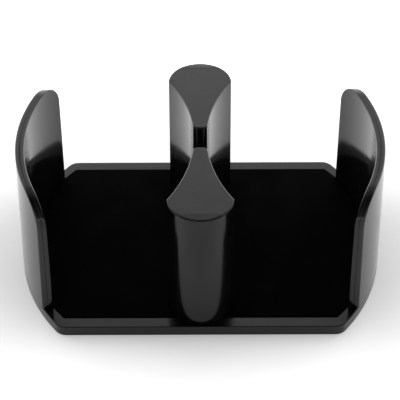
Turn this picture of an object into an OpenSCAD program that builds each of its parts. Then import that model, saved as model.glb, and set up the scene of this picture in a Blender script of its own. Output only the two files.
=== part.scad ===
// Twin desk cup holder: a shallow tray with a curved wall on each side and two waisted posts
// in the middle, which leave a bay for a cup on either side. A soft mat lies in the tray.
// +X is to the right, +Y to the back and +Z up. The origin is on the desk, under the centre.

/* [Walls] */
// Width over the outsides of the two walls, at their top edge
wall_span = 165.5; // [150:0.5:180]
// Radius of a wall's outer face in plan, at its top edge
wall_radius = 89.2; // [86:0.2:100]
// Thickness of a wall at its top edge, square to the tray's middle line; its inner face is
// upright and has the same radius as its outer face
wall_thickness = 4.1; // [3.4:0.1:5]
// How much the outer face of a wall leans outward from top to foot
wall_draft = 0.8; // [0.4:0.1:1.2]
// Distance from one end of a wall to the other, square to the ends
wall_length = 90.6; // [80:0.2:92]
// Height of the walls above the desk
wall_top = 67.7; // [50:0.2:80]
// Radius of the two upper corners of a wall
wall_corner = 13.5; // [4:0.5:16]

/* [Tray] */
// Depth of the tray from front edge to back edge
tray_depth = 114; // [110:1:124]
// Height of the tray's edge
tray_height = 5.2; // [4.8:0.2:7]
// Radius of the tray's four corners in plan
tray_corner = 6; // [3:0.5:10]
// Width of the rim along the front and the back
rim_width = 5.7; // [5:0.1:8]
// Thickness of the tray's floor
floor_thickness = 2; // [1.6:0.1:2.2]
// Depth of the seat that the mat lies in
seat_depth = 1.2; // [1:0.1:1.4]

/* [Mat] */
// Thickness of the mat
mat_thickness = 1.6; // [1.4:0.1:2.4]
// Clear gap all round the mat
mat_gap = 0.4; // [0.3:0.05:0.8]
// Width of the slanted corners of the mat and its seat
slant_width = 4.8; // [3:0.2:8]

/* [Posts] */
// Height of the posts above the desk
post_top = 68.5; // [50:0.1:80]
// Radius of the hollow sides of a post, at its top
waist_radius = 80.8; // [70:0.2:95]
// Width that the two hollow sides would leave between them at their closest
waist_width = 5.7; // [4:0.1:8]
// Radius of the round outer end of a post, at its top
post_end_radius = 14.7; // [12:0.1:15]
// Distance between the outer ends of the two posts, at their top
post_reach = 110.4; // [104:0.1:111]
// Gap between the inner ends of the two posts
post_gap = 13.6; // [10:0.2:20]
// Radius of the two corners of a post's inner end
nose_radius = 2.2; // [1:0.1:2.6]
// How much a post's sides lean outward from top to foot
post_draft = 0.1; // [0.1:0.1:0.8]
// Thickness of a post's shell
shell_thickness = 2.1; // [1.6:0.1:2.4]

/* [Post caps] */
// Thickness of the cap's edge
cap_edge = 0.8; // [0.6:0.1:2]
// Depth of the cap's spigot, inside the shell
spigot_depth = 3; // [2:0.5:5]
// Slope of the cap's outer end, in degrees
cap_slope = 2.5; // [1:0.5:5]

/* [Fasteners and feet] */
// Diameter of the screws that hold the posts
post_screw_d = 2.9; // [2.5:0.1:3]
// Diameter of the screws that hold the walls
wall_screw_d = 2.2; // [2:0.1:2.6]
// Diameter of the feet
foot_d = 12; // [9:0.5:14]
// Thickness of the feet
foot_thickness = 1.6; // [1.2:0.1:1.6]
// How far the feet stand out under the tray
foot_proud = 0.6; // [0.4:0.1:0.8]

/* [Hidden] */

CUT = 0.5;            // overshoot of a cut past the face that it leaves through
SHADOW = 0.1;         // gap of a seam between two parts of the shell
ROUND = 256;          // segments of a long arc
SMALL_ROUND = 48;     // segments of a short arc

// Heights above the desk
tray_bottom = foot_proud;
tray_top = tray_bottom + tray_height;
seat_z = tray_top - seat_depth;
floor_z = seat_z - floor_thickness;
mat_top = seat_z + mat_thickness;
shell_top = post_top - cap_edge;
tongue_depth = 1.4;
tongue_z = tray_top - tongue_depth;
tongue_inset = 2;

// Radii and centres of the side arcs, in plan
arc_offset = wall_radius - wall_span / 2;
tray_arc = wall_radius + wall_draft;
inner_offset = arc_offset + wall_thickness;
tongue_outer = tray_arc - 1.4;
tongue_inner = wall_radius - wall_thickness + 1.2;
wall_screw_arc = (tongue_outer + tongue_inner) / 2;
wall_screw_angles = [-20, 0, 20];

// Tray outline, and the centre of its corner rounding
half_depth = tray_depth / 2;
seat_half_depth = half_depth - rim_width;
corner_y = half_depth - tray_corner;
corner_x = sqrt(pow(tray_arc - tray_corner, 2) - pow(corner_y, 2)) - arc_offset;
corner_turn = atan2(corner_y, corner_x + arc_offset);
seat_end_y = wall_length / 2;
seat_end_x = sqrt(pow(wall_radius, 2) - pow(seat_end_y, 2)) - inner_offset;
skirt = 2.4;
beam = 3;
rib = 1.4;
rib_pitch = 22;

// Post outline, at the top
waist_centre = waist_radius + waist_width / 2;
post_end_y = post_reach / 2 - post_end_radius;
post_inner_y = post_gap / 2;
nose_y = post_inner_y + nose_radius;
nose_x = waist_centre - sqrt(pow(waist_radius + nose_radius, 2) - pow(nose_y, 2));
post_block = post_end_radius + post_draft + 0.3;
boss_d = 6;
boss_y = [24, 44];
slope_y = 51.4;

// Screws and feet
post_head_d = 5.6;
wall_head_d = 4.4;
head_height = 1.4;
post_screw_length = 10;
wall_screw_length = 9;
cross_width = 0.7;
cross_length = 2.6;
cross_depth = 0.8;
foot_x = 60;
foot_y = 44;
foot_boss_d = foot_d + 4;
foot_seat_z = foot_thickness;

module both_sides() {
    children();
    mirror([1, 0, 0]) children();
}

module both_ends() {
    children();
    mirror([0, 1, 0]) children();
}

// Region between two side arcs, whose centres are offset to the far side, and within a half depth
module barrel(arc, offset, half) {
    intersection() {
        translate([offset, 0]) circle(r = arc, $fn = ROUND);
        translate([-offset, 0]) circle(r = arc, $fn = ROUND);
        square([4 * arc, 2 * half], center = true);
    }
}

// Tray outline: a barrel with its four corners rounded
module tray_outline() {
    difference() {
        barrel(tray_arc, arc_offset, half_depth);
        both_sides() both_ends() difference() {
            polygon([
                [corner_x, corner_y],
                [corner_x, half_depth + CUT],
                [corner_x + 2 * tray_corner, half_depth + CUT],
                [corner_x + 2 * tray_corner * cos(corner_turn), corner_y + 2 * tray_corner * sin(corner_turn)],
            ]);
            translate([corner_x, corner_y]) circle(r = tray_corner, $fn = SMALL_ROUND);
        }
    }
}

// Floor of the bays, with slanted corners, grown or shrunk by a margin
module bay_outline(margin) {
    intersection() {
        barrel(wall_radius + margin, inner_offset, seat_half_depth + margin);
        both_ends() both_sides() polygon([
            [-CUT, -CUT],
            [2 * seat_end_x, -CUT],
            [2 * seat_end_x, seat_end_y + margin / 2],
            [seat_end_x + margin, seat_end_y + margin / 2],
            [seat_end_x - slant_width + margin / 2, seat_half_depth + margin],
            [-CUT, seat_half_depth + margin],
        ]);
    }
}

// Solid of the rear post from z0 to z1, shrunk by an inset, with the draft of its sides.
// Its inner end has round corners only where the inset leaves room for them.
module post_form(inset, z0, z1) {
    lean0 = post_draft * (post_top - z0) / (post_top - seat_z);
    lean1 = post_draft * (post_top - z1) / (post_top - seat_z);
    height = z1 - z0;
    rounded = inset < nose_radius / 2;
    block_y = rounded ? nose_y : post_inner_y + inset;
    difference() {
        union() {
            translate([0, post_end_y, z0])
                cylinder(r1 = post_end_radius + lean0 - inset, r2 = post_end_radius + lean1 - inset,
                         h = height, $fn = ROUND);
            translate([-post_block, block_y, z0]) cube([2 * post_block, post_end_y - block_y, height]);
            if (rounded) {
                for (x = [-nose_x, nose_x]) translate([x, nose_y, z0])
                    cylinder(r1 = nose_radius + lean0 - inset, r2 = nose_radius + lean1 - inset,
                             h = height, $fn = SMALL_ROUND);
                translate([-nose_x, 0, 0]) rotate([90, 0, 90]) linear_extrude(height = 2 * nose_x) polygon([
                    [post_inner_y + inset - lean0, z0],
                    [nose_y, z0],
                    [nose_y, z1],
                    [post_inner_y + inset - lean1, z1],
                ]);
            }
        }
        both_sides() translate([waist_centre, 0, z0])
            cylinder(r1 = waist_radius - lean0 + inset, r2 = waist_radius - lean1 + inset,
                     h = height, $fn = ROUND);
    }
}

module post_shell() {
    color("#17181a") difference() {
        union() {
            difference() {
                post_form(0, seat_z, shell_top);
                translate([0, 0, -CUT]) post_form(shell_thickness, seat_z, shell_top + 2 * CUT);
            }
            intersection() {
                post_form(shell_thickness / 2, seat_z, shell_top - spigot_depth - 1);
                union() {
                    for (y = boss_y)
                        translate([0, y, seat_z]) cylinder(d = boss_d, h = post_top, $fn = SMALL_ROUND);
                    translate([-rib / 2, 0, seat_z]) cube([rib, post_reach / 2, post_top]);
                }
            }
        }
        for (y = boss_y)
            translate([0, y, seat_z - CUT])
                cylinder(d = post_screw_d, h = post_screw_length, $fn = SMALL_ROUND);
    }
}

module post_cap() {
    color("#26272a") difference() {
        union() {
            post_form(0, shell_top, post_top);
            difference() {
                post_form(shell_thickness + SHADOW, shell_top - spigot_depth, shell_top + cap_edge / 2);
                translate([0, 0, -CUT])
                    post_form(2 * shell_thickness, shell_top - spigot_depth, shell_top + CUT);
            }
        }
        translate([0, slope_y, post_top]) rotate([-cap_slope, 0, 0])
            translate([-post_block, 0, 0]) cube([2 * post_block, post_block, post_block]);
    }
}

// Crescent that a wall is cut from: its outer face leans, and its inner face is upright
module wall_crescent() {
    difference() {
        translate([0, 0, tray_top])
            cylinder(r1 = tray_arc, r2 = wall_radius, h = wall_top - tray_top, $fn = ROUND);
        translate([-wall_thickness, 0, tray_top - CUT])
            cylinder(r = wall_radius, h = wall_top - tray_top + 2 * CUT, $fn = ROUND);
    }
}

module tongue_ring() {
    translate([0, 0, tongue_z]) difference() {
        cylinder(r = tongue_outer, h = tongue_depth + CUT, $fn = ROUND);
        translate([0, 0, -CUT]) cylinder(r = tongue_inner, h = tongue_depth + 3 * CUT, $fn = ROUND);
    }
}

// Slab between the two ends of a wall, from the middle of the tray outward, less a margin
module wall_slab(margin) {
    translate([0, margin - wall_length / 2, 0])
        cube([2 * wall_radius, wall_length - 2 * margin, 2 * wall_top]);
}

// Cutter for one rounded upper corner
module corner_cutter() {
    translate([0, wall_length / 2 - wall_corner, wall_top - wall_corner]) rotate([0, 90, 0]) difference() {
        translate([-2 * wall_corner, 0, 0]) cube([2 * wall_corner, 2 * wall_corner, 2 * wall_radius]);
        translate([0, 0, -CUT]) cylinder(r = wall_corner, h = 2 * wall_radius + 2 * CUT, $fn = SMALL_ROUND);
    }
}

module wall() {
    color("#101113") translate([-arc_offset, 0, 0]) difference() {
        union() {
            intersection() {
                wall_crescent();
                wall_slab(0);
            }
            intersection() {
                tongue_ring();
                wall_slab(tongue_inset);
            }
        }
        both_ends() corner_cutter();
        for (a = wall_screw_angles)
            rotate(a) translate([wall_screw_arc, 0, tongue_z - CUT])
                cylinder(d = wall_screw_d, h = wall_screw_length, $fn = SMALL_ROUND);
    }
}

// Hollow under the floor, which leaves the skirt, the side beams, the ribs and the bosses
module underside_hollow() {
    difference() {
        barrel(wall_radius - beam, inner_offset, half_depth - skirt);
        for (x = [-3 : 3]) translate([x * rib_pitch - rib / 2, -half_depth]) square([rib, tray_depth]);
        for (y = [-2 : 2]) translate([-tray_arc, y * rib_pitch - rib / 2]) square([2 * tray_arc, rib]);
        both_ends() both_sides() translate([foot_x, foot_y]) circle(d = foot_boss_d, $fn = SMALL_ROUND);
    }
}

module base_tray() {
    color("#1c1d1f") difference() {
        translate([0, 0, tray_bottom]) linear_extrude(height = tray_height) tray_outline();
        translate([0, 0, seat_z]) linear_extrude(height = tray_height) bay_outline(0);
        translate([0, 0, tray_bottom - CUT])
            linear_extrude(height = floor_z - tray_bottom + CUT) underside_hollow();
        both_ends() {
            post_form(-SHADOW, seat_z, tray_top + CUT);
            for (y = boss_y) {
                translate([0, y, tray_bottom - CUT])
                    cylinder(d = post_screw_d + 0.4, h = tray_top, $fn = SMALL_ROUND);
                translate([0, y, tray_bottom - CUT])
                    cylinder(d = post_head_d + 0.6, h = floor_z - tray_bottom + CUT, $fn = SMALL_ROUND);
            }
        }
        both_sides() translate([-arc_offset, 0, 0]) {
            translate([0, 0, -SHADOW]) intersection() {
                tongue_ring();
                wall_slab(tongue_inset - SHADOW);
            }
            for (a = wall_screw_angles) rotate(a) translate([wall_screw_arc, 0, tray_bottom - CUT]) {
                cylinder(d = wall_screw_d + 0.4, h = tray_height, $fn = SMALL_ROUND);
                cylinder(d = wall_head_d + 0.6, h = floor_z - tray_bottom + CUT, $fn = SMALL_ROUND);
            }
        }
        both_ends() both_sides() translate([foot_x, foot_y, tray_bottom - CUT])
            cylinder(d = foot_d + 0.4, h = foot_seat_z - tray_bottom + CUT, $fn = SMALL_ROUND);
    }
}

module floor_mat() {
    color("#060607") difference() {
        translate([0, 0, seat_z]) linear_extrude(height = mat_thickness) bay_outline(-mat_gap);
        both_ends() post_form(-mat_gap, seat_z - CUT, mat_top + CUT);
    }
}

module left_wall() { mirror([1, 0, 0]) wall(); }
module right_wall() { wall(); }
module rear_post() { post_shell(); }
module front_post() { mirror([0, 1, 0]) post_shell(); }
module rear_post_cap() { post_cap(); }
module front_post_cap() { mirror([0, 1, 0]) post_cap(); }

// Pan head screw that points up, with its head's seat at the origin
module screw(d, head_d, length) {
    color("#9a9da1") difference() {
        union() {
            translate([0, 0, -head_height]) cylinder(d = head_d, h = head_height, $fn = SMALL_ROUND);
            cylinder(d = d, h = length - d / 2, $fn = SMALL_ROUND);
            translate([0, 0, length - d / 2]) cylinder(d1 = d, d2 = d / 3, h = d / 2, $fn = SMALL_ROUND);
        }
        for (a = [0, 90]) rotate(a)
            translate([-cross_length / 2, -cross_width / 2, -head_height - CUT])
                cube([cross_length, cross_width, cross_depth + CUT]);
    }
}

module post_screws() {
    both_ends() for (y = boss_y) translate([0, y, floor_z]) screw(post_screw_d, post_head_d, post_screw_length);
}

module wall_screws() {
    both_sides() translate([-arc_offset, 0, floor_z]) for (a = wall_screw_angles)
        rotate(a) translate([wall_screw_arc, 0, 0]) screw(wall_screw_d, wall_head_d, wall_screw_length);
}

module foot(x, y) {
    color("#2b2b2b") translate([x, y, 0]) cylinder(d = foot_d, h = foot_thickness, $fn = SMALL_ROUND);
}

module front_left_foot() { foot(-foot_x, -foot_y); }
module front_right_foot() { foot(foot_x, -foot_y); }
module rear_left_foot() { foot(-foot_x, foot_y); }
module rear_right_foot() { foot(foot_x, foot_y); }

base_tray();
floor_mat();
left_wall();
right_wall();
front_post();
rear_post();
front_post_cap();
rear_post_cap();
post_screws();
wall_screws();
front_left_foot();
front_right_foot();
rear_left_foot();
rear_right_foot();
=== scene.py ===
import math

import bmesh
import bpy
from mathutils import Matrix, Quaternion, Vector


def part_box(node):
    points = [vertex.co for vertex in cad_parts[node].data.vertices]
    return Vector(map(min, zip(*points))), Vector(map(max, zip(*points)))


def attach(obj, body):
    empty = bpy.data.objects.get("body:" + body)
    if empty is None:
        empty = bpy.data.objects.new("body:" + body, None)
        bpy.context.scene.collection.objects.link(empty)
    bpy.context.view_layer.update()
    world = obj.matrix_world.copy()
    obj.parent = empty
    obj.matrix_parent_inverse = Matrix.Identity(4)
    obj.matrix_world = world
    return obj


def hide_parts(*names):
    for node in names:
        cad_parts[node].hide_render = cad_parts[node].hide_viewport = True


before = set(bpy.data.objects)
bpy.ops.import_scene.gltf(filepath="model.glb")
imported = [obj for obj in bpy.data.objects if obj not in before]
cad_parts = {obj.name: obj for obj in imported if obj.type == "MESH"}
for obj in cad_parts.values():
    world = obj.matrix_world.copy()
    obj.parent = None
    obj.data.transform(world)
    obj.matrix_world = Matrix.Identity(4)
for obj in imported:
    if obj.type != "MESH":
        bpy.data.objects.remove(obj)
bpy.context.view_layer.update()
scene = bpy.context.scene

# ---------------------------------------------------------------- desk, light and camera
# A white desk top in a white tent, bright near the horizon behind and dark in front. The desk's
# glow is painted light: brighter behind the holder, and turned down close round it as a soft
# painted shade. The camera looks down from the front, from far enough off to keep the holder's
# sides nearly upright.
MM = 0.001
TENT_TURN = (0.45, 0.80)
TENT_WALL_LIGHT = 2.4
TENT_TOP_LIGHT = 0.85
DARK_FRONT_TURN = (-0.50, 0.25)
DARK_FRONT_RISE = (0.0, 0.16)
DARK_FRONT_DEPTH = 0.90
DESK_WHITE = 0.78
DESK_HALF = 30.0
DESK_GLOW = 0.64
# Painted light on the desk: a glow that grows brighter behind the holder, and a painted shade close round
# it.
PAINTED_REAR_GLOW = 1.0
PAINTED_REAR_REACH = (0.08, 0.15)
PAINTED_SHADE_SHAPE = (1 / 0.14, 1 / 0.072, 0)
PAINTED_SHADE_REACH = (0.6, 1.25)
PAINTED_SHADE_DEPTH = 0.52
EYE_HEIGHT_ANGLE = math.radians(41.55)
EYE_DISTANCE = 0.8168
EYE_TARGET = Vector((-0.00017, 0.0346, 0.0004))
EYE_ROLL = math.radians(0.2)
LENS = 150.03
SENSOR = 36.0


class Wire:
    """An output socket that Python's operators calculate with, in any node tree."""

    def __init__(self, tree, socket=None):
        self.tree = tree
        self.socket = socket

    def node(self, kind, inputs=None, settings=None, output=0):
        """Any other node: its settings are set first, then its sockets get values or links."""
        made = self.tree.nodes.new(kind)
        for name, value in (settings or {}).items():
            if name == "stops":
                while len(made.color_ramp.elements) < len(value):
                    made.color_ramp.elements.new(1)
                for element, (place, colour) in zip(made.color_ramp.elements, value):
                    element.position = place
                    element.color = colour
            else:
                setattr(made, name, value)
        for key, value in (inputs or {}).items():
            if isinstance(value, Wire):
                self.tree.links.new(value.socket, made.inputs[key])
            else:
                made.inputs[key].default_value = value
        return Wire(self.tree, made.outputs[output])

    def math(self, operation, *values):
        return self.node("ShaderNodeMath", dict(enumerate(values)), {"operation": operation})

    def vector(self, operation, *values):
        return self.node("ShaderNodeVectorMath", dict(enumerate(values)), {"operation": operation})

    def part(self, axis):
        return self.node("ShaderNodeSeparateXYZ", {0: self}, output=axis)

    def __add__(self, other):
        return self.math("ADD", self, other)

    def __radd__(self, other):
        return self.math("ADD", other, self)

    def __sub__(self, other):
        return self.math("SUBTRACT", self, other)

    def __rsub__(self, other):
        return self.math("SUBTRACT", other, self)

    def __mul__(self, other):
        return self.math("MULTIPLY", self, other)

    def __rmul__(self, other):
        return self.math("MULTIPLY", other, self)

    def __truediv__(self, other):
        return self.math("DIVIDE", self, other)

    def __gt__(self, other):
        return self.math("GREATER_THAN", self, other)

    def __lt__(self, other):
        return self.math("LESS_THAN", self, other)

    def __mod__(self, other):
        return self.math("FLOORED_MODULO", self, other)

    def ramp(self, low, high, low_value=0.0, high_value=1.0):
        """Goes smoothly from one value to another as this one goes from low to high."""
        return self.node(
            "ShaderNodeMapRange", {0: self, 1: low, 2: high, 3: low_value, 4: high_value},
            {"interpolation_type": "SMOOTHSTEP"})


tent = bpy.data.worlds.new("tent")
scene.world = tent
tent.use_nodes = True
tent_tree = tent.node_tree
toward = Wire(tent_tree).node("ShaderNodeTexCoord", output="Generated")
rise = toward.part(2)
front = 0 - toward.part(1)
all_round_light = rise.ramp(*TENT_TURN, TENT_WALL_LIGHT, TENT_TOP_LIGHT)
dark_front = front.ramp(*DARK_FRONT_TURN) * rise.ramp(*DARK_FRONT_RISE)
tent_light = all_round_light * (1 - DARK_FRONT_DEPTH * dark_front)
tent_tree.links.new(tent_light.socket, tent_tree.nodes["Background"].inputs["Strength"])
tent_tree.nodes["Background"].inputs["Color"].default_value = (1, 1, 1, 1)

desk_mesh = bpy.data.meshes.new("desk")
desk_mesh.from_pydata(
    [(x * DESK_HALF, y * DESK_HALF, 0) for x, y in ((-1, -1), (1, -1), (1, 1), (-1, 1))],
    [], [(0, 1, 2, 3)])
desk = bpy.data.objects.new("desk", desk_mesh)
scene.collection.objects.link(desk)
desk_white = bpy.data.materials.new("desk_white")
desk_white.use_nodes = True
desk_shader = desk_white.node_tree.nodes["Principled BSDF"]
desk_shader.inputs["Base Color"].default_value = (DESK_WHITE, DESK_WHITE, DESK_WHITE, 1)
desk_shader.inputs["Roughness"].default_value = 0.9
desk_shader.inputs["Specular IOR Level"].default_value = 0.1
desk_shader.inputs["Emission Color"].default_value = (1, 1, 1, 1)
on_desk = Wire(desk_white.node_tree).node("ShaderNodeTexCoord", output="Object")
# Painted light: the desk's glow rises behind the holder, and is turned down round it as painted shade.
painted_rear_light = on_desk.part(1).ramp(*PAINTED_REAR_REACH)
painted_shade_distance = on_desk.node("ShaderNodeVectorMath", {0: on_desk.vector("MULTIPLY", on_desk, PAINTED_SHADE_SHAPE)},
                    {"operation": "LENGTH"}, "Value")
desk_glow_and_painted_shade = (DESK_GLOW + painted_rear_light * PAINTED_REAR_GLOW) * painted_shade_distance.ramp(*PAINTED_SHADE_REACH, 1 - PAINTED_SHADE_DEPTH, 1.0)
desk_glow_and_painted_shade.tree.links.new(desk_glow_and_painted_shade.socket, desk_shader.inputs["Emission Strength"])
desk_mesh.materials.append(desk_white)

eye_ray = Vector((0, math.cos(EYE_HEIGHT_ANGLE), -math.sin(EYE_HEIGHT_ANGLE)))
camera_data = bpy.data.cameras.new("camera")
camera_data.lens = LENS
camera_data.sensor_width = SENSOR
camera_data.clip_start = 0.05
camera_data.clip_end = 100.0
camera = bpy.data.objects.new("camera", camera_data)
scene.collection.objects.link(camera)
camera.location = EYE_TARGET - eye_ray * EYE_DISTANCE
camera.rotation_mode = "QUATERNION"
camera.rotation_quaternion = eye_ray.to_track_quat("-Z", "Y")
camera.rotation_quaternion.rotate(Quaternion(eye_ray, EYE_ROLL))
scene.camera = camera
scene.view_settings.view_transform = "Standard"

# ---------------------------------------------------------------- side walls
# Two curved walls of black ABS, each one moulding with its corners rounded, polished to a
# gloss. Each stands on a tongue in the tray's rim and is screwed from below. The two halves
# of its mould met in the middle of the edge, which leaves a fine parting line there.
WALL_RADIUS = 89.2 * MM
WALL_THICKNESS = 4.1 * MM
WALL_LEAN = 0.8 * MM
WALL_CORNER = 13.5 * MM
WALL_EDGE = 0.7 * MM
WALL_FOOT_CORNER = 0.9 * MM
PARTING = 0.2 * MM
RAIL_STEP = 1.2 * MM
CORNER_POINTS = 16
FACE_RINGS = 20
EDGE_RINGS = 5
MERGE = 0.001 * MM
SHARP_ANGLE = math.radians(35)

tray_low, tray_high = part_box("base_tray")
wall_low, wall_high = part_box("right_wall")
tray_radius = WALL_RADIUS + WALL_LEAN
tray_offset = tray_radius - tray_high.x


def new_tree(name, inputs):
    """An empty geometry tree with named inputs, and the wire of each input."""
    tree = bpy.data.node_groups.new(name, "GeometryNodeTree")
    tree.interface.new_socket("Geometry", in_out="OUTPUT", socket_type="NodeSocketGeometry")
    tree.interface.new_socket("Geometry", in_out="INPUT", socket_type="NodeSocketGeometry")
    for label in inputs:
        kind = "NodeSocketMaterial" if label == "Finish" else "NodeSocketFloat"
        tree.interface.new_socket(label, in_out="INPUT", socket_type=kind)
    entry = tree.nodes.new("NodeGroupInput")
    return tree, [Wire(tree, entry.outputs[label]) for label in inputs]


def end_tree(tree, shape, finish):
    """Closes a tree: real geometry, smooth and with its finish."""
    smooth = shape.node("GeometryNodeSetShadeSmooth", {"Geometry": shape})
    real = smooth.node("GeometryNodeRealizeInstances", {"Geometry": smooth})
    painted = real.node("GeometryNodeSetMaterial", {"Geometry": real, "Material": finish})
    tree.links.new(painted.socket, tree.nodes.new("NodeGroupOutput").inputs[0])


def finished(piece):
    """Turns a closed piece's faces outward, and weights its normals so that flats stay flat."""
    shape = bmesh.new()
    shape.from_mesh(piece.data)
    bmesh.ops.remove_doubles(shape, verts=shape.verts, dist=MERGE)
    bmesh.ops.recalc_face_normals(shape, faces=shape.faces)
    shape.to_mesh(piece.data)
    shape.free()
    weighting = piece.modifiers.new("weighting", "WEIGHTED_NORMAL")
    weighting.keep_sharp = True
    return piece


def grown(name, tree, values, places=()):
    """Grows a piece from a geometry tree and the values of its inputs, at places if it has many."""
    seeds = bpy.data.meshes.new(name)
    seeds.from_pydata(places, [], [])
    piece = bpy.data.objects.new(name, seeds)
    scene.collection.objects.link(piece)
    growth = piece.modifiers.new("growth", "NODES")
    growth.node_group = tree
    for item in tree.interface.items_tree:
        if item.in_out == "INPUT" and item.name in values:
            growth[item.identifier] = values[item.name]
    ready = piece.evaluated_get(bpy.context.evaluated_depsgraph_get())
    plain = bpy.data.meshes.new_from_object(ready)
    piece.modifiers.remove(growth)
    piece.data = plain
    return finished(piece)


def wall_growth():
    """The tree of one wall: an outline is sampled round it, and rings of it cross the section."""
    tree, inputs = new_tree("wall_growth", [
        "Side", "Length", "Foot", "Top", "Radius", "Offset", "Thickness", "Lean", "Corner",
        "Foot Corner", "Edge", "Parting", "Step", "Finish"])
    side, length, foot, top, radius, offset, thickness, lean = inputs[:8]
    corner, foot_corner, edge, parting, step, finish = inputs[8:]
    position = side.node("GeometryNodeInputPosition")
    index = side.node("GeometryNodeInputIndex")

    # The outline: a rectangle with rounded corners, cut into steps along its straight sides
    outline = side.node(
        "GeometryNodeCurvePrimitiveQuadrilateral", {"Width": length, "Height": top - foot},
        {"mode": "RECTANGLE"})
    corner_radius = foot_corner + (corner - foot_corner) * (position.part(1) > 0.0)
    outline = side.node(
        "GeometryNodeFilletCurve", {"Curve": outline, "Radius": corner_radius, "Count": CORNER_POINTS},
        {"mode": "POLY"})
    points = side.node(
        "GeometryNodeAttributeDomainSize", {0: outline}, {"component": "CURVE"}, "Point Count")
    following = side.node(
        "GeometryNodeFieldAtIndex", {"Index": (index + 1) % points, "Value": position},
        {"data_type": "FLOAT_VECTOR", "domain": "POINT"})
    gap = side.node(
        "ShaderNodeVectorMath", {0: following, 1: position}, {"operation": "DISTANCE"}, "Value")
    outline = side.node("GeometryNodeSubdivideCurve", {"Curve": outline, "Cuts": gap / step})
    count = side.node(
        "GeometryNodeAttributeDomainSize", {0: outline}, {"component": "CURVE"}, "Point Count")

    # One column of the grid for each point of the outline, one row for each ring of the section
    half_rows = FACE_RINGS + EDGE_RINGS + 2
    rows = 2 * half_rows + 1
    grid = side.node("GeometryNodeMeshGrid", {
        "Size X": 1.0, "Size Y": 1.0, "Vertices X": count + 1, "Vertices Y": rows})
    column = side.math("ROUND", (position.part(0) + 0.5) * count) % count
    row = side.math("ROUND", (position.part(1) + 0.5) * (rows - 1))
    outer = row > half_rows + 0.5
    level = side.math("MINIMUM", row, (rows - 1) - row)

    def sampled(value):
        return side.node(
            "GeometryNodeSampleIndex", {"Geometry": outline, "Value": value, "Index": column},
            {"data_type": "FLOAT_VECTOR", "domain": "POINT"})

    rail = sampled(position)
    along = sampled(side.node("GeometryNodeInputTangent"))
    across = side.vector("CROSS_PRODUCT", along, (0, 0, 1))
    facing = side.node(
        "ShaderNodeVectorMath", {0: across, 1: rail}, {"operation": "DOT_PRODUCT"}, "Value")
    outward = side.node("ShaderNodeVectorMath", {0: across, "Scale": side.math("SIGN", facing)},
                        {"operation": "SCALE"})

    # Across the section: flat face, round edge, and the parting line in the middle
    share = side.math("MINIMUM", level / FACE_RINGS, 1.0)
    round_share = side.math("MAXIMUM", (level - FACE_RINGS) / EDGE_RINGS, 0.0)
    turn = side.math("MINIMUM", round_share, 1.0) * (math.pi / 2)
    lip = level > half_rows - 1.5
    middle = level > half_rows - 0.5
    inset = edge * (1 - side.math("SINE", turn)) + parting * middle
    inward = side.node("ShaderNodeVectorMath", {0: outward, "Scale": inset}, {"operation": "SCALE"})
    place = side.node(
        "ShaderNodeVectorMath", {0: side.vector("SUBTRACT", rail, inward), "Scale": share},
        {"operation": "SCALE"})
    y = place.part(0)
    z = place.part(1) + (top + foot) / 2
    face_radius = radius + lean * (top - z) / (top - foot)
    outer_x = side.math("SQRT", face_radius * face_radius - y * y) - offset
    inner_x = side.math("SQRT", radius * radius - y * y) - offset - thickness
    depth = edge * (1 - side.math("COSINE", turn))
    depth = depth + ((outer_x - inner_x) / 2 - parting - edge) * lip + parting * middle
    x = inner_x + depth + outer * (outer_x - inner_x - 2 * depth)
    shape = side.node("GeometryNodeSetPosition", {
        "Geometry": grid, "Position": side.node("ShaderNodeCombineXYZ", {0: side * x, 1: y, 2: z})})
    shape = side.node("GeometryNodeMergeByDistance", {"Geometry": shape, "Distance": MERGE})
    end_tree(tree, shape, finish)
    return tree


def new_finish(name, values):
    """A new material with these uniform values on its shader; its shader, and where on the piece."""
    made = bpy.data.materials.new(name)
    made.use_nodes = True
    shader = made.node_tree.nodes["Principled BSDF"]
    for key, value in values.items():
        shader.inputs[key].default_value = value
    return made, shader, Wire(made.node_tree).node("ShaderNodeTexCoord", output="Object")


def feed(shader, **wires):
    """Links wires to the shader's sockets, whose names are written with underscores."""
    for name, wire in wires.items():
        wire.tree.links.new(wire.socket, shader.inputs[name.replace("_", " ")])


def noise(place, scale, detail=2.0, stretch=None):
    """Noise with this many cells a metre, stretched along the axes if asked, from 0 to 1."""
    if stretch:
        place = place.node(
            "ShaderNodeMapping", {"Vector": place, "Rotation": stretch[0], "Scale": stretch[1]})
    return place.node("ShaderNodeTexNoise", {"Vector": place, "Scale": scale, "Detail": detail})


def mixed(factor, first, second):
    """Two colours mixed by a factor."""
    return factor.node("ShaderNodeMix", {0: factor, 6: first, 7: second}, {"data_type": "RGBA"}, 2)


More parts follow.
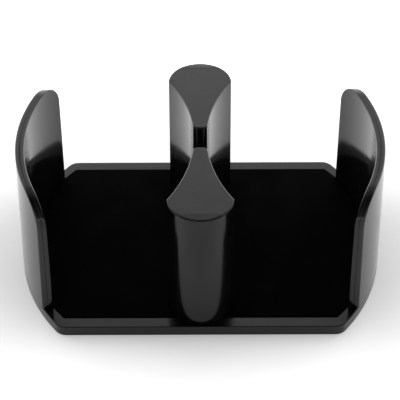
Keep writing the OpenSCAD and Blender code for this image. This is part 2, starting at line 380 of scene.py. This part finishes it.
def moulded_black(name, shade, roughness, haze, peel, specular=0.5):
    """Black ABS: shade and roughness vary with handling, and the skin has a faint orange peel."""
    made, shader, place = new_finish(name, {"Specular IOR Level": specular})
    clouds = noise(place, 45, 3.0).ramp(0.35, 0.7)
    smudge = noise(place, 210, 4.0).ramp(0.45, 0.75)
    hairlines = noise(place, 1, 1.0, ((0.3, 0.5, 0.9), (2600, 90, 90))).ramp(0.72, 0.78)
    crosslines = noise(place, 1, 1.0, ((1.1, 0.2, 2.2), (80, 2900, 80))).ramp(0.73, 0.79)
    scratches = place.math("MAXIMUM", hairlines, crosslines)
    worn = place.node("ShaderNodeNewGeometry", output="Pointiness").ramp(0.53, 0.62)
    cell = place.node("ShaderNodeTexVoronoi", {"Vector": place, "Scale": 170.0, "Randomness": 1.0})
    chance = place.node("ShaderNodeTexVoronoi", {"Vector": place, "Scale": 170.0}, output="Color").part(0)
    dust = (cell < 0.018 + 0.03 * chance) * (chance < 0.16)
    dark = (shade, shade, shade * 1.06, 1)
    pale = (shade * 1.9 + 0.002, shade * 1.9 + 0.002, shade * 2.0 + 0.002, 1)
    tint = mixed(clouds * 0.5 + worn * 0.5, dark, pale)
    dusty = mixed(dust, tint, (0.20, 0.19, 0.18, 1))
    handled = roughness + clouds * haze + smudge * (haze * 0.6)
    rough = handled + scratches * 0.10 + worn * 0.08 + dust * 0.5
    orange_peel = noise(place, 620, 2.0) * peel + noise(place, 5200, 1.0) * (peel * 0.12)
    relief = orange_peel - scratches * 0.25 + dust * 2.0
    bump = place.node("ShaderNodeBump", {"Height": relief, "Strength": 1.0, "Distance": 0.01 * MM})
    feed(shader, Base_Color=dusty, Roughness=rough, Normal=bump)
    return made


gloss = moulded_black("gloss_black_abs", 0.002, 0.11, 0.05, 0.5, 0.32)
wall_tree = wall_growth()
for side_name, side_sign in (("left", -1.0), ("right", 1.0)):
    wall = grown(side_name + "_side_wall", wall_tree, {
        "Side": side_sign,
        "Length": wall_high.y - wall_low.y,
        "Foot": tray_high.z - WALL_EDGE,
        "Top": wall_high.z,
        "Radius": WALL_RADIUS,
        "Offset": tray_offset,
        "Thickness": WALL_THICKNESS,
        "Lean": WALL_LEAN,
        "Corner": WALL_CORNER,
        "Foot Corner": WALL_FOOT_CORNER,
        "Edge": WALL_EDGE,
        "Parting": PARTING,
        "Step": RAIL_STEP,
        "Finish": gloss,
    })
    wall.data.set_sharp_from_angle(angle=SHARP_ANGLE)
    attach(wall, "holder")
    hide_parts(side_name + "_wall")

# ---------------------------------------------------------------- posts
# Two hollow posts of gloss black ABS, waisted to fit round the cups and rounded where they
# stand out over the rim. Each is one moulding, held on two bosses by screws from below, and
# passes through a close opening in the tray's rim.
WAIST_RADIUS = 80.8 * MM
WAIST_WIDTH = 5.7 * MM
END_RADIUS = 14.7 * MM
NOSE_RADIUS = 2.2 * MM
POST_CORNER = 0.7 * MM
POST_LEAN = 0.1 * MM
CAP_EDGE = 0.8 * MM
SEAM_EDGE = 0.3 * MM
EDGE_STEPS = 5

mat_low, mat_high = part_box("floor_mat")
cap_low, cap_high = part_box("rear_post_cap")
shell_top = cap_high.z - CAP_EDGE
seat_z = mat_low.z


def bell():
    """The rear post's outline as arcs of (centre x, centre y, radius, first and last facing)."""
    waist_x = WAIST_RADIUS + WAIST_WIDTH / 2
    end_y = cap_high.y - END_RADIUS
    nose_y = cap_low.y + NOSE_RADIUS
    nose_x = waist_x - math.sqrt((WAIST_RADIUS + NOSE_RADIUS) ** 2 - nose_y ** 2)
    # The corner's centre is one corner radius inside both the waist arc and the end arc
    reach, span, tip = WAIST_RADIUS + POST_CORNER, math.hypot(waist_x, end_y), END_RADIUS - POST_CORNER
    beyond = (tip ** 2 - reach ** 2 + span ** 2) / (2 * span)
    aside = math.sqrt(tip ** 2 - beyond ** 2)
    corner_x = (beyond * waist_x + aside * end_y) / span
    corner_y = end_y - (beyond * end_y - aside * waist_x) / span
    into_nose = math.atan2(-nose_y, waist_x - nose_x)
    into_corner = math.atan2(-corner_y, waist_x - corner_x)
    into_end = math.atan2(corner_y - end_y, corner_x)
    right = [
        (nose_x, nose_y, NOSE_RADIUS, -math.pi / 2, into_nose, 8),
        (waist_x, 0, -WAIST_RADIUS, into_nose, into_corner, 48),
        (corner_x, corner_y, POST_CORNER, into_corner, into_end, 5),
    ]
    left = [(-x, y, radius, math.pi - last, math.pi - first, steps)
            for x, y, radius, first, last, steps in reversed(right)]
    return right + [(0, end_y, END_RADIUS, into_end, math.pi - into_end, 64)] + left


def ring(arcs, grow):
    """Points round an outline that is grown outward, where each arc keeps its centre."""
    points = []
    for x, y, radius, first, last, steps in arcs:
        reach = radius + grow
        for step in range(steps + 1):
            facing = first + (last - first) * step / steps
            points.append((x + reach * math.cos(facing), y + reach * math.sin(facing)))
    return points


def rounded(low, high, low_edge, high_edge):
    """(grow, z) up the side of a solid from low to high, with both edges rounded."""
    quarter = [math.pi / 2 * step / EDGE_STEPS for step in range(EDGE_STEPS + 1)]
    foot = [(low_edge * (math.cos(a) - 1), low + low_edge * (1 - math.sin(a))) for a in reversed(quarter)]
    head = [(high_edge * (math.cos(a) - 1), high - high_edge * (1 - math.sin(a))) for a in quarter]
    return foot + head


def skin(shape, arcs, sections):
    """Skins rings of an outline, one for each (grow, z), and returns the rings' vertices."""
    rings = [[shape.verts.new((x, y, z)) for x, y in ring(arcs, grow)] for grow, z in sections]
    for low, high in zip(rings, rings[1:]):
        for here in range(len(low)):
            there = (here + 1) % len(low)
            shape.faces.new((low[here], low[there], high[there], high[here]))
    return rings


def solid(shape, arcs, sections):
    """The same, closed at both ends."""
    rings = skin(shape, arcs, sections)
    shape.faces.new(rings[0])
    shape.faces.new(rings[-1])


def made(name, shape, finish, mirrored=False):
    """A smooth piece from a mesh in the making; mirrored puts a rear piece to the front."""
    if mirrored:
        bmesh.ops.scale(shape, vec=(1, -1, 1), verts=shape.verts)
    mesh = bpy.data.meshes.new(name)
    shape.to_mesh(mesh)
    shape.free()
    mesh.shade_smooth()
    mesh.materials.append(finish)
    piece = bpy.data.objects.new(name, mesh)
    scene.collection.objects.link(piece)
    return piece


post_gloss = moulded_black("post_black_abs", 0.002, 0.13, 0.05, 0.5, 0.28)
for end_name in ("front", "rear"):
    shape = bmesh.new()
    sides = [(grow + POST_LEAN * (cap_high.z - z) / (cap_high.z - seat_z), z)
             for grow, z in rounded(seat_z, shell_top, SEAM_EDGE, SEAM_EDGE)]
    solid(shape, bell(), sides)
    post = finished(made(end_name + "_post_shell", shape, post_gloss, end_name == "front"))
    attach(post, "holder")
    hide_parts(end_name + "_post")

# ---------------------------------------------------------------- post caps
# A satin black cap closes the top of each post, pressed in by a spigot. Its edge is rounded,
# a fine joint shows under it, and past a straight crease its outer end slopes down a little.
CAP_ROUND = 0.48 * MM
CREASE_Y = 51.4 * MM
CREASE_WIDTH = 0.2 * MM
CREASE_DEPTH = 0.12 * MM
CAP_SLOPE = math.tan(math.radians(2.5))

satin = moulded_black("satin_black_abs", 0.004, 0.20, 0.05, 0.13, 0.30)
for end_name in ("front", "rear"):
    shape = bmesh.new()
    solid(shape, bell(), rounded(shell_top, cap_high.z, SEAM_EDGE, CAP_ROUND))
    for crease_y in (CREASE_Y - CREASE_WIDTH, CREASE_Y, CREASE_Y + CREASE_WIDTH):
        bmesh.ops.bisect_plane(
            shape, geom=shape.verts[:] + shape.edges[:] + shape.faces[:], dist=MERGE,
            plane_co=(0, crease_y, 0), plane_no=(0, 1, 0))
    for vertex in shape.verts:
        if vertex.co.z > shell_top + SEAM_EDGE + MERGE:
            vertex.co.z -= max(0, vertex.co.y - CREASE_Y) * CAP_SLOPE
            if abs(vertex.co.y - CREASE_Y) < MERGE:
                vertex.co.z -= CREASE_DEPTH
    for edge in shape.edges:
        ends = [abs(abs(vertex.co.y - CREASE_Y) - CREASE_WIDTH) < MERGE for vertex in edge.verts]
        edge.smooth = not (all(ends) and edge.verts[0].co.z > cap_high.z - CREASE_Y * CAP_SLOPE)
    cap = finished(made(end_name + "_cap", shape, satin, end_name == "front"))
    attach(cap, "holder")
    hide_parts(end_name + "_post_cap")

# ---------------------------------------------------------------- tray
# One shallow moulding of semi-gloss black ABS. Its sides follow the walls, its rim is flat,
# and its floor is sunk for the mat. Underneath it is hollow, with ribs, bosses and recesses,
# which are cut as the frame's tray has them.
TRAY_CORNER = 6 * MM
TRAY_EDGE = 0.45 * MM
TRAY_FOOT_EDGE = 0.3 * MM
RIM_WIDTH = 5.7 * MM
SEAT_EDGE = 0.18 * MM
SEAT_CORNER = 1.3 * MM
SLANT_WIDTH = 4.8 * MM
POST_CLEARANCE = 0.12 * MM
UNDERCUT = 0.05 * MM
SKIRT = 1.2 * MM

inner_offset = tray_offset + WALL_THICKNESS


def all_round(quarter):
    """Arcs of the right rear quarter, from +X to +Y, carried round all four quarters."""
    upper = quarter + [(-x, y, radius, math.pi - last, math.pi - first, steps)
                       for x, y, radius, first, last, steps in reversed(quarter)]
    return upper + [(-x, -y, radius, first + math.pi, last + math.pi, steps)
                    for x, y, radius, first, last, steps in upper]


def tray_outline():
    corner_y = tray_high.y - TRAY_CORNER
    corner_x = math.sqrt((tray_radius - TRAY_CORNER) ** 2 - corner_y ** 2) - tray_offset
    turn = math.atan2(corner_y, corner_x + tray_offset)
    return all_round([
        (-tray_offset, 0, tray_radius, 0, turn, 36),
        (corner_x, corner_y, TRAY_CORNER, turn, math.pi / 2, 12),
    ])


def seat_outline():
    """Between the walls' inner faces, with slanted corners from the walls' ends to the rim."""
    end_y = wall_high.y
    end_turn = math.asin(end_y / WALL_RADIUS)
    end_x = WALL_RADIUS * math.cos(end_turn) - inner_offset
    rim_y = tray_high.y - RIM_WIDTH
    slant = math.atan2(SLANT_WIDTH, rim_y - end_y)

    def corner(x, y, first, last):
        spread = SEAT_CORNER / (1 + math.cos(last - first))
        return (x - spread * (math.cos(first) + math.cos(last)),
                y - spread * (math.sin(first) + math.sin(last)), SEAT_CORNER, first, last, 4)

    return all_round([
        (-inner_offset, 0, WALL_RADIUS, 0, end_turn - SEAT_CORNER / WALL_RADIUS, 36),
        corner(end_x, end_y, end_turn, slant),
        corner(end_x - SLANT_WIDTH, rim_y, slant, math.pi / 2),
    ])


def cut(piece, tool):
    """Cuts a tool out of a piece for good, and removes the tool."""
    saw = piece.modifiers.new("saw", "BOOLEAN")
    saw.operation = "DIFFERENCE"
    saw.solver = "EXACT"
    saw.object = tool
    ready = piece.evaluated_get(bpy.context.evaluated_depsgraph_get())
    plain = bpy.data.meshes.new_from_object(ready)
    piece.modifiers.remove(saw)
    piece.data = plain
    bpy.data.objects.remove(tool)


def cut_posts(piece, gap, low, high):
    """Opens a piece round both posts."""
    for mirrored in (True, False):
        shape = bmesh.new()
        solid(shape, bell(), [(gap, low), (gap, high)])
        cut(piece, finished(made("post_tool", shape, piece.data.materials[0], mirrored)))


def crisped(piece):
    """Marks a cut piece's corners sharp and finishes it."""
    finished(piece)
    piece.data.set_sharp_from_angle(angle=SHARP_ANGLE)
    return piece


tray_black = moulded_black("tray_black_abs", 0.003, 0.15, 0.05, 0.4, 0.32)
shape = bmesh.new()
outer = skin(shape, tray_outline(), rounded(tray_low.z, tray_high.z, TRAY_FOOT_EDGE, TRAY_EDGE))
lip = [(SEAT_EDGE * (1 - math.cos(a)), tray_high.z - SEAT_EDGE * (1 - math.sin(a)))
       for a in (math.pi / 2 * (1 - step / EDGE_STEPS) for step in range(EDGE_STEPS + 1))]
seat = skin(shape, seat_outline(), lip + [(0, seat_z)])
shape.faces.new(outer[0])
shape.faces.new(seat[-1])
bmesh.ops.remove_doubles(shape, verts=shape.verts, dist=MERGE)
rim_edges = [edge for edge in shape.edges
             if edge.is_boundary and all(abs(v.co.z - tray_high.z) < MERGE for v in edge.verts)]
bmesh.ops.triangle_fill(shape, edges=rim_edges, use_beauty=True)
bmesh.ops.recalc_face_normals(shape, faces=shape.faces)
tray = made("tray", shape, tray_black)
cut_posts(tray, POST_CLEARANCE, seat_z - UNDERCUT, tray_high.z + MM)

hollow_shape = bmesh.new()
solid(hollow_shape, tray_outline(), [(-SKIRT, tray_low.z - MM), (-SKIRT, wall_low.z - 4 * UNDERCUT)])
bmesh.ops.recalc_face_normals(hollow_shape, faces=hollow_shape.faces)
hollow = made("hollow", hollow_shape, tray_black)
frame_shape = bmesh.new()
frame_shape.from_mesh(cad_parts["base_tray"].data)
bmesh.ops.remove_doubles(frame_shape, verts=frame_shape.verts, dist=MERGE)
cut(hollow, made("frame_tray", frame_shape, tray_black))
cut(tray, hollow)
crisped(tray)
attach(tray, "holder")
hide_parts("base_tray")

# ---------------------------------------------------------------- mat
# A loose mat of deep matte black foam rubber lies in the tray, cut round the posts, and it
# lifts out to be washed. Its skin has a fine close grain and its upper edge is pressed round.
MAT_GAP = 0.4 * MM
MAT_EDGE = 0.5 * MM


def mat_rubber():
    rubber, shader, place = new_finish("mat_rubber", {"Specular IOR Level": 0.02})
    grain = place.node("ShaderNodeTexVoronoi", {"Vector": place, "Scale": 1500.0})
    fibre = noise(place, 3800, 3.0)
    patches = noise(place, 60, 3.0).ramp(0.35, 0.7)
    lint = noise(place, 1, 2.0, ((0.2, 0.7, 0.4), (1900, 260, 260))).ramp(0.74, 0.79)
    tint = mixed(patches, (0.0004, 0.0004, 0.0004, 1), (0.0009, 0.0009, 0.0009, 1))
    bump = place.node(
        "ShaderNodeBump", {"Height": grain * 0.6 + fibre * 0.6, "Strength": 0.8, "Distance": 0.05 * MM})
    feed(shader, Base_Color=mixed(lint * 0.5, tint, (0.006, 0.006, 0.006, 1)),
         Roughness=0.78 + patches * 0.12 + lint * 0.08, Normal=bump)
    return rubber


shape = bmesh.new()
mat_sides = rounded(seat_z, mat_high.z, MAT_EDGE / 4, MAT_EDGE)
solid(shape, seat_outline(), [(grow - MAT_GAP, z) for grow, z in mat_sides])
bmesh.ops.remove_doubles(shape, verts=shape.verts, dist=MERGE)
bmesh.ops.recalc_face_normals(shape, faces=shape.faces)
mat = made("lift_out_mat", shape, mat_rubber())
cut_posts(mat, MAT_GAP, seat_z - MM, mat_high.z + MM)
crisped(mat)
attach(mat, "mat")
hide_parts("floor_mat")

# ---------------------------------------------------------------- screws
# Ten zinc-plated screws with pan heads and cross recesses, cut for plastic with a coarse
# thread. Four go up into the bosses in the posts, and six up into the feet of the walls.
SCREW_TURNS = 24
THREAD_ROWS = 64
THREAD_PITCH = 1.1 * MM
THREAD_DEPTH = 0.28 * MM
HEAD_HEIGHT = 1.4 * MM
CROSS_WIDTH = 0.7 * MM
CROSS_LENGTH = 2.6 * MM
CROSS_DEPTH = 0.8 * MM
POST_SCREW_Y = (24 * MM, 44 * MM)
POST_SCREW = (2.9 * MM, 5.6 * MM, 10 * MM)
WALL_SCREW = (2.2 * MM, 4.4 * MM, 9 * MM)
WALL_SCREW_TURN = math.radians(20)


def rows_of(profile):
    """Looks up a profile's (radius, height) by the row of a grid; returns both as wires."""
    def of(row, angle):
        switch = row.node("GeometryNodeIndexSwitch", settings={"data_type": "VECTOR"})
        picker = switch.socket.node
        while len(picker.index_switch_items) < len(profile):
            picker.index_switch_items.new()
        row.tree.links.new(row.socket, picker.inputs["Index"])
        for place, (radius, height) in enumerate(profile):
            point = row.node("ShaderNodeCombineXYZ", {0: radius, 2: height})
            row.tree.links.new(point.socket, picker.inputs[place + 1])
        return switch.part(0), switch.part(2)
    return of


def lathed(flow, columns, rows, place_of):
    """A closed turned shape: a grid is rolled round the Z axis, and its first and last rows meet it."""
    position = flow.node("GeometryNodeInputPosition")
    grid = flow.node("GeometryNodeMeshGrid", {
        "Size X": 1.0, "Size Y": 1.0, "Vertices X": columns + 1, "Vertices Y": rows})
    angle = (position.part(0) + 0.5) * (2 * math.pi)
    radius, height = place_of(flow.math("ROUND", (position.part(1) + 0.5) * (rows - 1)), angle)
    turned = flow.node("ShaderNodeCombineXYZ", {
        0: radius * flow.math("COSINE", angle), 1: radius * flow.math("SINE", angle), 2: height})
    shape = flow.node("GeometryNodeSetPosition", {"Geometry": grid, "Position": turned})
    return flow.node("GeometryNodeMergeByDistance", {"Geometry": shape, "Distance": MERGE})


def screw_growth():
    """The tree of a group of screws: one is turned, threaded and slotted, and stands on each point."""
    tree, inputs = new_tree("screw_growth", ["Shank", "Head", "Length", "Pitch", "Thread", "Finish"])
    shank, head, length, pitch, thread, finish = inputs
    core = shank / 2 - thread
    head_rows = [
        (0.0, -HEAD_HEIGHT),
        (head * 0.22, -HEAD_HEIGHT),
        (head * 0.36, -HEAD_HEIGHT * 0.93),
        (head * 0.45, -HEAD_HEIGHT * 0.74),
        (head * 0.49, -HEAD_HEIGHT * 0.5),
        (head * 0.5, -HEAD_HEIGHT * 0.25),
        (head * 0.5, -HEAD_HEIGHT * 0.06),
        (head * 0.485, 0.0),
    ]

    def screw_place(row, angle):
        head_radius, head_z = rows_of(head_rows)(row, angle)
        on_shank = row > len(head_rows) - 0.5
        z = (row - len(head_rows)) / (THREAD_ROWS - 1) * length
        phase = (z / pitch - angle / (2 * math.pi)) % 1.0
        crest = shank.math("MAXIMUM", 1 - shank.math("ABSOLUTE", phase - 0.5) * 4, 0.0)
        radius = shank.math("MINIMUM", core + thread * crest, (length - z) * 0.7)
        return head_radius + (radius - head_radius) * on_shank, head_z + (z - head_z) * on_shank

    screw = lathed(shank, SCREW_TURNS, len(head_rows) + THREAD_ROWS, screw_place)
    slotted = screw.node(
        "GeometryNodeMeshBoolean", settings={"operation": "DIFFERENCE", "solver": "EXACT"})
    slots = slotted.socket.node
    tree.links.new(screw.socket, slots.inputs["Mesh 1"])
    for turn in (0, math.pi / 2):
        bar = shank.node("GeometryNodeMeshCube", {"Size": (CROSS_LENGTH, CROSS_WIDTH, 2 * CROSS_DEPTH)})
        bar = shank.node("GeometryNodeTransform", {
            "Geometry": bar, "Translation": (0, 0, -HEAD_HEIGHT), "Rotation": (0, 0, turn)})
        tree.links.new(bar.socket, slots.inputs["Mesh 2"])
    placed = shank.node("GeometryNodeInstanceOnPoints", {
        "Points": Wire(tree, tree.nodes["Group Input"].outputs["Geometry"]), "Instance": slotted})
    end_tree(tree, placed, finish)
    return tree


def zinc_steel():
    zinc, shader, place = new_finish("zinc_steel", {"Metallic": 1.0})
    plating = noise(place, 900, 4.0).ramp(0.3, 0.7)
    turning = noise(place, 1, 2.0, ((0, 0, 0), (500, 500, 9000)))
    tint = mixed(plating, (0.50, 0.51, 0.53, 1), (0.62, 0.62, 0.60, 1))
    bump = place.node("ShaderNodeBump", {
        "Height": turning * 0.6 + plating * 0.4, "Strength": 0.5, "Distance": 0.01 * MM})
    feed(shader, Base_Color=tint, Roughness=0.28 + plating * 0.16, Normal=bump)
    return zinc


zinc = zinc_steel()
screw_tree = screw_growth()
screw_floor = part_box("post_screws")[0].z + HEAD_HEIGHT
screw_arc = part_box("wall_screws")[1].x - WALL_SCREW[1] / 2 + tray_offset
post_places = [(0, sign * y, screw_floor) for y in POST_SCREW_Y for sign in (-1, 1)]
wall_places = [
    (sign * (screw_arc * math.cos(turn) - tray_offset), screw_arc * math.sin(turn), screw_floor)
    for sign in (-1, 1) for turn in (-WALL_SCREW_TURN, 0, WALL_SCREW_TURN)]
for group, places, (shank, head, length) in (
        ("post_screws", post_places, POST_SCREW), ("wall_screws", wall_places, WALL_SCREW)):
    screws = grown("zinc_" + group, screw_tree, {
        "Shank": shank, "Head": head, "Length": length, "Pitch": THREAD_PITCH, "Thread": THREAD_DEPTH,
        "Finish": zinc}, places)
    screws.data.set_sharp_from_angle(angle=SHARP_ANGLE)
    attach(screws, "holder")
    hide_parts(group)

# ---------------------------------------------------------------- feet
# Four round feet of matte black rubber are glued into recesses under the tray's corners.
# Their edges are pressed round, and rings in the underside help them grip the desk.
FOOT_EDGE = 0.3 * MM
FOOT_COLUMNS = 48
GRIP_DEPTH = 0.15 * MM
FOOT_NODES = [end + "_" + side + "_foot" for end in ("front", "rear") for side in ("left", "right")]


def foot_growth():
    """The tree of the feet: one is turned and stands on each point."""
    tree, inputs = new_tree("foot_growth", ["Radius", "Thickness", "Edge", "Grip", "Finish"])
    radius, thickness, edge, grip, finish = inputs
    profile = [(0.0, 0.0)]
    for step in range(3):
        profile += [(radius * (0.30 + 0.2 * step), 0.0), (radius * (0.34 + 0.2 * step), grip),
                    (radius * (0.38 + 0.2 * step), grip), (radius * (0.42 + 0.2 * step), 0.0)]
    for step in range(EDGE_STEPS + 1):
        turn = math.pi / 2 * step / EDGE_STEPS
        profile.append((radius - edge * (1 - math.sin(turn)), edge * (1 - math.cos(turn))))
    for step in range(EDGE_STEPS + 1):
        turn = math.pi / 2 * step / EDGE_STEPS
        profile.append((radius - edge * (1 - math.cos(turn)), thickness - edge * (1 - math.sin(turn))))
    profile.append((0.0, thickness))
    foot = lathed(radius, FOOT_COLUMNS, len(profile), rows_of(profile))
    placed = radius.node("GeometryNodeInstanceOnPoints", {
        "Points": Wire(tree, tree.nodes["Group Input"].outputs["Geometry"]), "Instance": foot})
    end_tree(tree, placed, finish)
    return tree


def foot_rubber():
    rubber, shader, place = new_finish("foot_rubber", {"Specular IOR Level": 0.3})
    bloom = noise(place, 260, 4.0).ramp(0.35, 0.75)
    pores = noise(place, 4200, 2.0)
    bump = place.node("ShaderNodeBump", {"Height": pores, "Strength": 0.7, "Distance": 0.03 * MM})
    feed(shader, Base_Color=mixed(bloom, (0.018, 0.018, 0.018, 1), (0.034, 0.033, 0.032, 1)),
         Roughness=0.7 + bloom * 0.15, Normal=bump)
    return rubber


foot_boxes = [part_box(name) for name in FOOT_NODES]
foot_places = [((low.x + high.x) / 2, (low.y + high.y) / 2, low.z) for low, high in foot_boxes]
foot_low, foot_high = foot_boxes[0]
feet = grown("rubber_feet", foot_growth(), {
    "Radius": (foot_high.x - foot_low.x) / 2,
    "Thickness": foot_high.z - foot_low.z,
    "Edge": FOOT_EDGE,
    "Grip": GRIP_DEPTH,
    "Finish": foot_rubber(),
}, foot_places)
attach(feet, "holder")
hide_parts(*FOOT_NODES)
